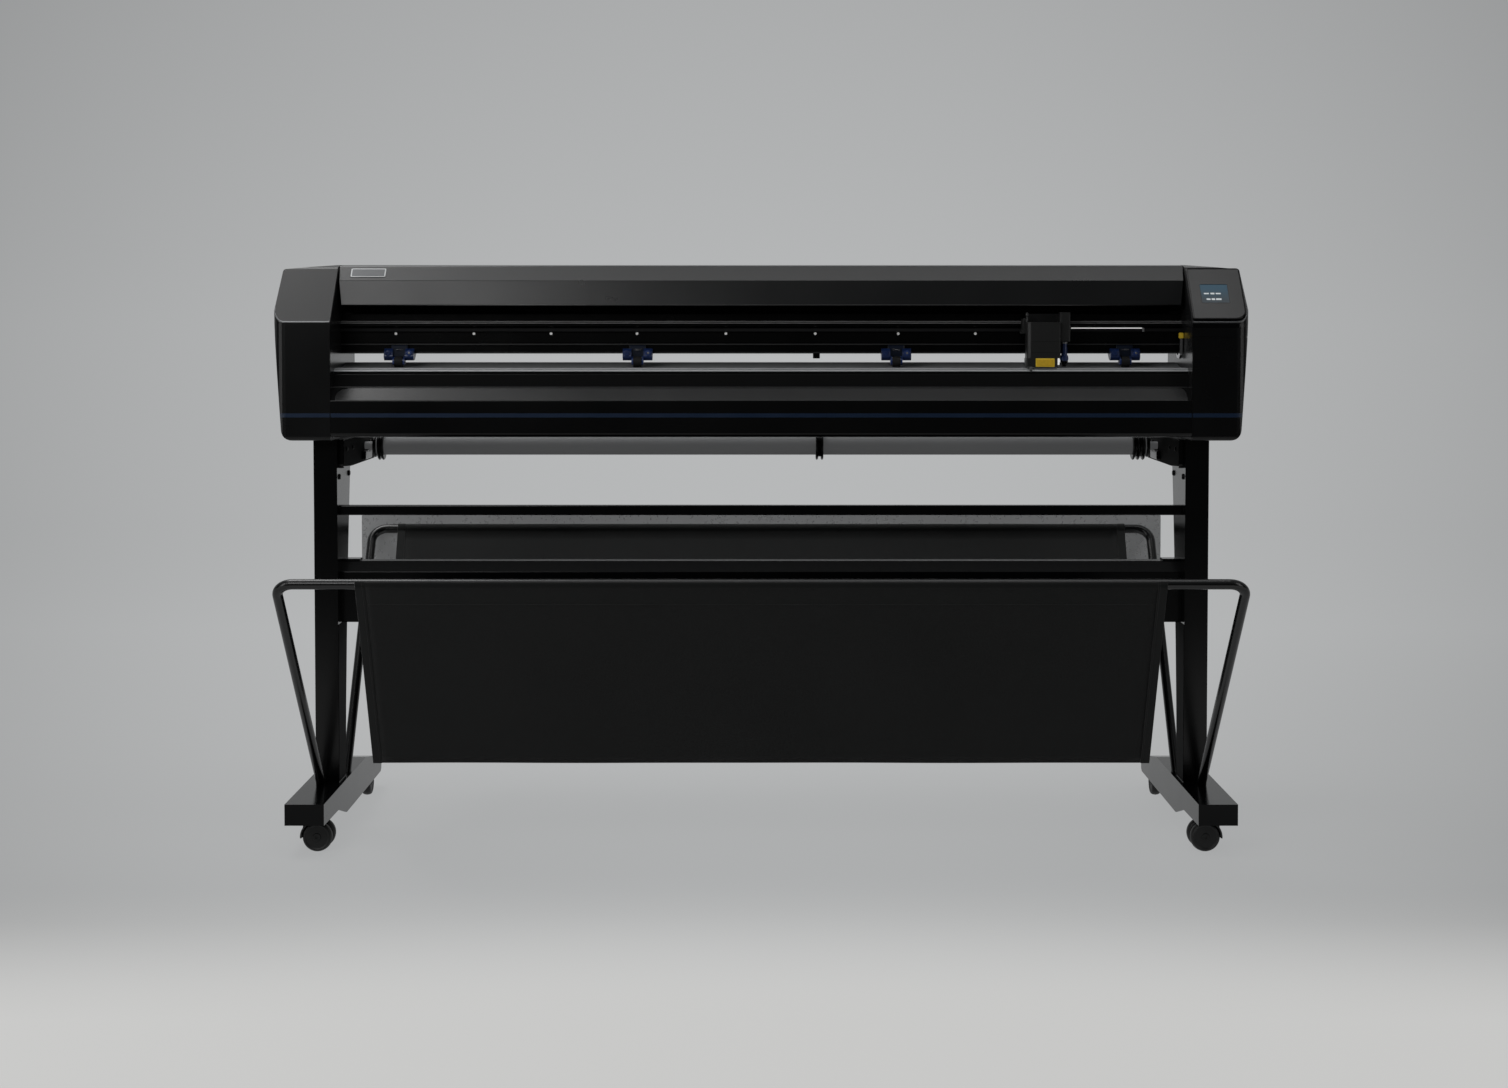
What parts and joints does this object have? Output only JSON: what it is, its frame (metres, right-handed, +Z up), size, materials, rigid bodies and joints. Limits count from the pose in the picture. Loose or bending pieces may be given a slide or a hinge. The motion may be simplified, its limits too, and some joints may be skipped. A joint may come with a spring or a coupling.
{
  "type": "roll-fed vinyl cutter",
  "caption": "Roll-fed sheet and vinyl cutter on a wheeled stand, with a sliding cutting head, pinch rollers, roll support and a cloth media basket.",
  "frame": {"origin": "on the floor, at the middle of the object's footprint box", "axes": "+X towards the operator's right along the body, -Y towards the operator, +Z up"},
  "size_m": [1.939, 0.9225, 1.145],
  "materials": {
    "foot_coat": "satin dark grey powder coat",
    "leg_coat": "satin black powder coat",
    "steel_bolt": "black oxide",
    "tube_coat": "satin black powder coat",
    "cloth": "woven black polyester",
    "guard_sheet": "speckled grey sheet",
    "caster_plastic": "moulded nylon",
    "wheel": "matte",
    "tray_steel": "satin",
    "black_plastic": "fine spark grain",
    "lid_plastic": "fine spark grain",
    "panel_plastic": "satin",
    "display_glass": "glossy",
    "beam_alu": "black anodised",
    "platen_alu": "satin anodised",
    "drum_steel": "grit coated",
    "shaft_steel": "ground",
    "roller_alu": "satin",
    "pulley_alu": "turned",
    "blue_plastic": "satin",
    "pinch_rubber": "matte",
    "belt_rubber": "matte",
    "board": "solder mask",
    "motor_case": "satin black"
  },
  "bodies": {
    "stand": {"foot_left": "foot_coat", "foot_right": "foot_coat", "leg_left": "leg_coat", "leg_right": "leg_coat", "cross_beam": "leg_coat", "top_bar": "leg_coat", "stand_bolts": "steel_bolt", "roll_brackets": "leg_coat", "basket_front_loop": "tube_coat", "basket_rear_loop": "tube_coat", "basket_cloth": "cloth", "rear_guard": "guard_sheet", "rear_wheel_mounts": "leg_coat", "chassis_tray": "tray_steel", "front_cover": "black_plastic", "end_cap_left": "black_plastic", "end_cap_right": "black_plastic", "top_cover": "lid_plastic", "rear_cover": "black_plastic", "y_beam": "beam_alu", "platen": "platen_alu", "control_panel": "panel_plastic", "display": "display_glass", "power_inlet": "black_plastic", "carriage_motor": "motor_case", "drum_motor": "motor_case", "electronics": "board", "drive_belt": "belt_rubber"},
    "caster_left": {"caster_hood_left": "caster_plastic"},
    "caster_right": {"caster_hood_right": "caster_plastic"},
    "front_wheels_left": {"caster_wheels_left": "wheel"},
    "front_wheels_right": {"caster_wheels_right": "wheel"},
    "rear_wheels_left": {"rear_wheels_left": "wheel"},
    "rear_wheels_right": {"rear_wheels_right": "wheel"},
    "carriage": {"carriage_frame": "tray_steel", "head_cover": "black_plastic"},
    "tool": {"tool_holder": "black_plastic"},
    "blade": {"blade_holder": "blue_plastic"},
    "drive_pulley": {"drive_pulley": "pulley_alu"},
    "idler_pulley": {"idler_pulley": "pulley_alu"},
    "drum": {"media_drum": "drum_steel"},
    "lift": {"lift_shaft": "shaft_steel", "pinch_lever": "shaft_steel"},
    "pinch_1": {"pinch_carrier_1": "blue_plastic"},
    "pinch_2": {"pinch_carrier_2": "blue_plastic"},
    "pinch_3": {"pinch_carrier_3": "blue_plastic"},
    "pinch_4": {"pinch_carrier_4": "blue_plastic"},
    "pinch_arm_1": {"pinch_arm_1": "blue_plastic"},
    "pinch_arm_2": {"pinch_arm_2": "blue_plastic"},
    "pinch_arm_3": {"pinch_arm_3": "blue_plastic"},
    "pinch_arm_4": {"pinch_arm_4": "blue_plastic"},
    "pinch_roller_1": {"pinch_roller_1": "pinch_rubber"},
    "pinch_roller_2": {"pinch_roller_2": "pinch_rubber"},
    "pinch_roller_3": {"pinch_roller_3": "pinch_rubber"},
    "pinch_roller_4": {"pinch_roller_4": "pinch_rubber"},
    "support_roller_front": {"support_roller_front": "roller_alu"},
    "support_roller_rear": {"support_roller_rear": "roller_alu"},
    "flange_left": {"media_flange_left": "black_plastic"},
    "flange_centre": {"media_flange_centre": "black_plastic"},
    "flange_right": {"media_flange_right": "black_plastic"}
  },
  "joints": [
    {"name": "caster_swivel_left", "type": "hinge", "parent": "stand", "child": "caster_left", "pos_m": [-0.88, -0.14875, 0.06], "axis": [0, 0, 1], "continuous": true},
    {"name": "front_wheel_spin_left", "type": "hinge", "parent": "caster_left", "child": "front_wheels_left", "pos_m": [-0.864, -0.14875, 0.029], "axis": [0, 1, 0], "continuous": true},
    {"name": "rear_wheel_spin_left", "type": "hinge", "parent": "stand", "child": "rear_wheels_left", "pos_m": [-0.88, 0.36525, 0.029], "axis": [1, 0, 0], "continuous": true},
    {"name": "caster_swivel_right", "type": "hinge", "parent": "stand", "child": "caster_right", "pos_m": [0.88, -0.14875, 0.06], "axis": [0, 0, 1], "continuous": true},
    {"name": "front_wheel_spin_right", "type": "hinge", "parent": "caster_right", "child": "front_wheels_right", "pos_m": [0.864, -0.14875, 0.029], "axis": [0, 1, 0], "continuous": true},
    {"name": "rear_wheel_spin_right", "type": "hinge", "parent": "stand", "child": "rear_wheels_right", "pos_m": [0.88, 0.36525, 0.029], "axis": [1, 0, 0], "continuous": true},
    {"name": "carriage_slide", "type": "slide", "parent": "stand", "child": "carriage", "axis": [1, 0, 0], "range_m": [-1.375, 0.205]},
    {"name": "tool_drop", "type": "slide", "parent": "carriage", "child": "tool", "axis": [0, 0, 1], "range_m": [-0.0024, 0]},
    {"name": "blade_swivel", "type": "hinge", "parent": "tool", "child": "blade", "pos_m": [0.6095, 0.01525, 1], "axis": [0, 0, 1], "continuous": true},
    {"name": "drive_pulley_spin", "type": "hinge", "parent": "stand", "child": "drive_pulley", "pos_m": [0.905, 0.08, 1.013], "axis": [0, 0, 1], "continuous": true},
    {"name": "idler_pulley_spin", "type": "hinge", "parent": "stand", "child": "idler_pulley", "pos_m": [-0.905, 0.08, 1.013], "axis": [0, 0, 1], "continuous": true},
    {"name": "drum_spin", "type": "hinge", "parent": "stand", "child": "drum", "pos_m": [0, 0.05125, 0.9225], "axis": [1, 0, 0], "continuous": true},
    {"name": "pinch_lift", "type": "hinge", "parent": "stand", "child": "lift", "pos_m": [0, 0.08525, 0.976], "axis": [1, 0, 0], "range_deg": [0, 40]},
    {"name": "pinch_slide_1", "type": "slide", "parent": "stand", "child": "pinch_1", "axis": [1, 0, 0], "range_m": [-0.08, 0.2]},
    {"name": "pinch_arm_lift_1", "type": "hinge", "parent": "pinch_1", "child": "pinch_arm_1", "pos_m": [-0.735, 0.08525, 0.976], "axis": [1, 0, 0], "range_deg": [-7, 0]},
    {"name": "pinch_roller_spin_1", "type": "hinge", "parent": "pinch_arm_1", "child": "pinch_roller_1", "pos_m": [-0.735, 0.05025, 0.9488], "axis": [1, 0, 0], "continuous": true},
    {"name": "pinch_slide_2", "type": "slide", "parent": "stand", "child": "pinch_2", "axis": [1, 0, 0], "range_m": [-0.22, 0.22]},
    {"name": "pinch_arm_lift_2", "type": "hinge", "parent": "pinch_2", "child": "pinch_arm_2", "pos_m": [-0.251, 0.08525, 0.976], "axis": [1, 0, 0], "range_deg": [-7, 0]},
    {"name": "pinch_roller_spin_2", "type": "hinge", "parent": "pinch_arm_2", "child": "pinch_roller_2", "pos_m": [-0.251, 0.05025, 0.9488], "axis": [1, 0, 0], "continuous": true},
    {"name": "pinch_slide_3", "type": "slide", "parent": "stand", "child": "pinch_3", "axis": [1, 0, 0], "range_m": [-0.22, 0.2]},
    {"name": "pinch_arm_lift_3", "type": "hinge", "parent": "pinch_3", "child": "pinch_arm_3", "pos_m": [0.274, 0.08525, 0.976], "axis": [1, 0, 0], "range_deg": [-7, 0]},
    {"name": "pinch_roller_spin_3", "type": "hinge", "parent": "pinch_arm_3", "child": "pinch_roller_3", "pos_m": [0.274, 0.05025, 0.9488], "axis": [1, 0, 0], "continuous": true},
    {"name": "pinch_slide_4", "type": "slide", "parent": "stand", "child": "pinch_4", "axis": [1, 0, 0], "range_m": [-0.2, 0.06]},
    {"name": "pinch_arm_lift_4", "type": "hinge", "parent": "pinch_4", "child": "pinch_arm_4", "pos_m": [0.738, 0.08525, 0.976], "axis": [1, 0, 0], "range_deg": [-7, 0]},
    {"name": "pinch_roller_spin_4", "type": "hinge", "parent": "pinch_arm_4", "child": "pinch_roller_4", "pos_m": [0.738, 0.05025, 0.9488], "axis": [1, 0, 0], "continuous": true},
    {"name": "support_front_spin", "type": "hinge", "parent": "stand", "child": "support_roller_front", "pos_m": [0, 0.26125, 0.767], "axis": [1, 0, 0], "continuous": true},
    {"name": "support_rear_spin", "type": "hinge", "parent": "stand", "child": "support_roller_rear", "pos_m": [0, 0.37125, 0.767], "axis": [1, 0, 0], "continuous": true},
    {"name": "flange_slide_left", "type": "slide", "parent": "stand", "child": "flange_left", "axis": [1, 0, 0], "range_m": [-0.003, 0.3]},
    {"name": "flange_slide_centre", "type": "slide", "parent": "stand", "child": "flange_centre", "axis": [1, 0, 0], "range_m": [-0.4, 0.4]},
    {"name": "flange_slide_right", "type": "slide", "parent": "stand", "child": "flange_right", "axis": [1, 0, 0], "range_m": [-0.25, 0.003]}
  ],
  "couplings": [
    {"joint": "drive_pulley_spin", "follows": "carriage_slide", "rad_per_m": 78.431},
    {"joint": "idler_pulley_spin", "follows": "carriage_slide", "rad_per_m": 78.431},
    {"joint": "pinch_arm_lift_1", "follows": "pinch_lift", "ratio": -0.15},
    {"joint": "pinch_roller_spin_1", "follows": "drum_spin", "ratio": -1.3636},
    {"joint": "pinch_arm_lift_2", "follows": "pinch_lift", "ratio": -0.15},
    {"joint": "pinch_roller_spin_2", "follows": "drum_spin", "ratio": -1.3636},
    {"joint": "pinch_arm_lift_3", "follows": "pinch_lift", "ratio": -0.15},
    {"joint": "pinch_roller_spin_3", "follows": "drum_spin", "ratio": -1.3636},
    {"joint": "pinch_arm_lift_4", "follows": "pinch_lift", "ratio": -0.15},
    {"joint": "pinch_roller_spin_4", "follows": "drum_spin", "ratio": -1.3636}
  ]
}
